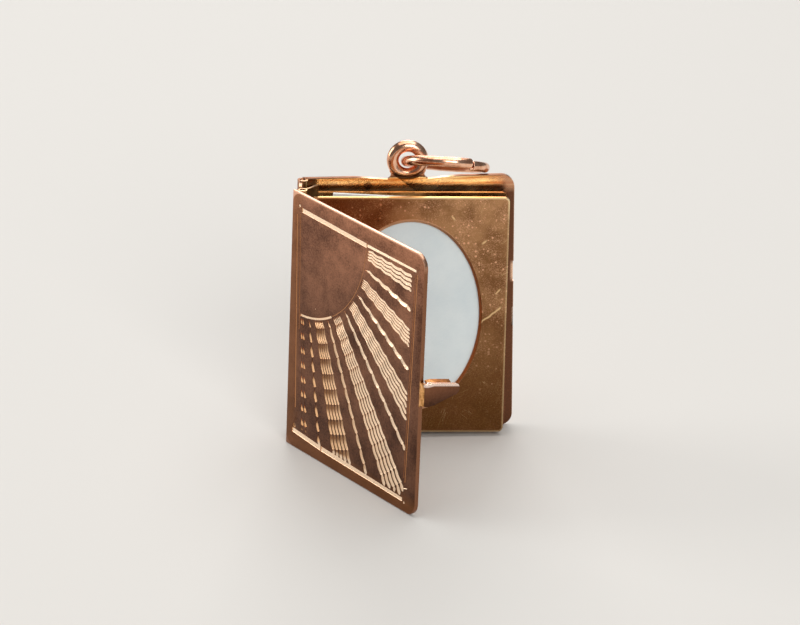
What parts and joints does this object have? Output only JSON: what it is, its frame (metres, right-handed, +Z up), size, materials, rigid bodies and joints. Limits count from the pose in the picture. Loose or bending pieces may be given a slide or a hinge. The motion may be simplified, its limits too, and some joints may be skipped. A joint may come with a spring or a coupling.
{
  "type": "book locket",
  "caption": "Book-shaped hinged gold locket standing open, with an engraved front cover, an inner leaf with an oval picture window, a latch tongue and a jump ring on its ear.",
  "frame": {"origin": "centre of the standing locket's bounding box, on the surface it stands on", "axes": "+Z up, +Y from the open front cover towards the back cover, +X from the spine towards the free edges"},
  "size_m": [0.017, 0.0192, 0.0228],
  "materials": {
    "rose_gold": "worn satin rose gold",
    "pin_gold": "drawn gold wire",
    "yellow_gold": "tarnished polished yellow gold",
    "ring_gold": "polished gold wire",
    "blue_grey_card": "smooth paper card",
    "white_card": "white paper card"
  },
  "bodies": {
    "back": {"back_cover": "rose_gold", "back_pin": "pin_gold"},
    "spine": {"spine": "rose_gold", "front_pin": "pin_gold"},
    "cover": {"front_cover": "rose_gold"},
    "leaf": {"leaf_back": "yellow_gold", "leaf_frame": "yellow_gold", "picture_card": "blue_grey_card", "backing_card": "white_card"},
    "ring": {"jump_ring": "ring_gold"}
  },
  "joints": [
    {"name": "back_hinge", "type": "hinge", "parent": "back", "child": "spine", "pos_m": [-0.00738, 0.00603, 0.01002], "axis": [0.0375, 0.0262, 0.999], "range_deg": [-88, 2]},
    {"name": "cover_hinge", "type": "hinge", "parent": "spine", "child": "cover", "pos_m": [-0.00745, 0.00414, 0.01007], "axis": [0.0375, 0.0262, 0.999], "range_deg": [-32, 54.5]},
    {"name": "leaf_hinge", "type": "hinge", "parent": "spine", "child": "leaf", "pos_m": [-0.00745, 0.00414, 0.01007], "axis": [0.0375, 0.0262, 0.999], "range_deg": [-3, 0.5]},
    {"name": "ring_swing", "type": "hinge", "parent": "back", "child": "ring", "pos_m": [0.00054, 0.00657, 0.02113], "axis": [0, -0.9997, 0.0262], "range_deg": [0, 150]}
  ]
}
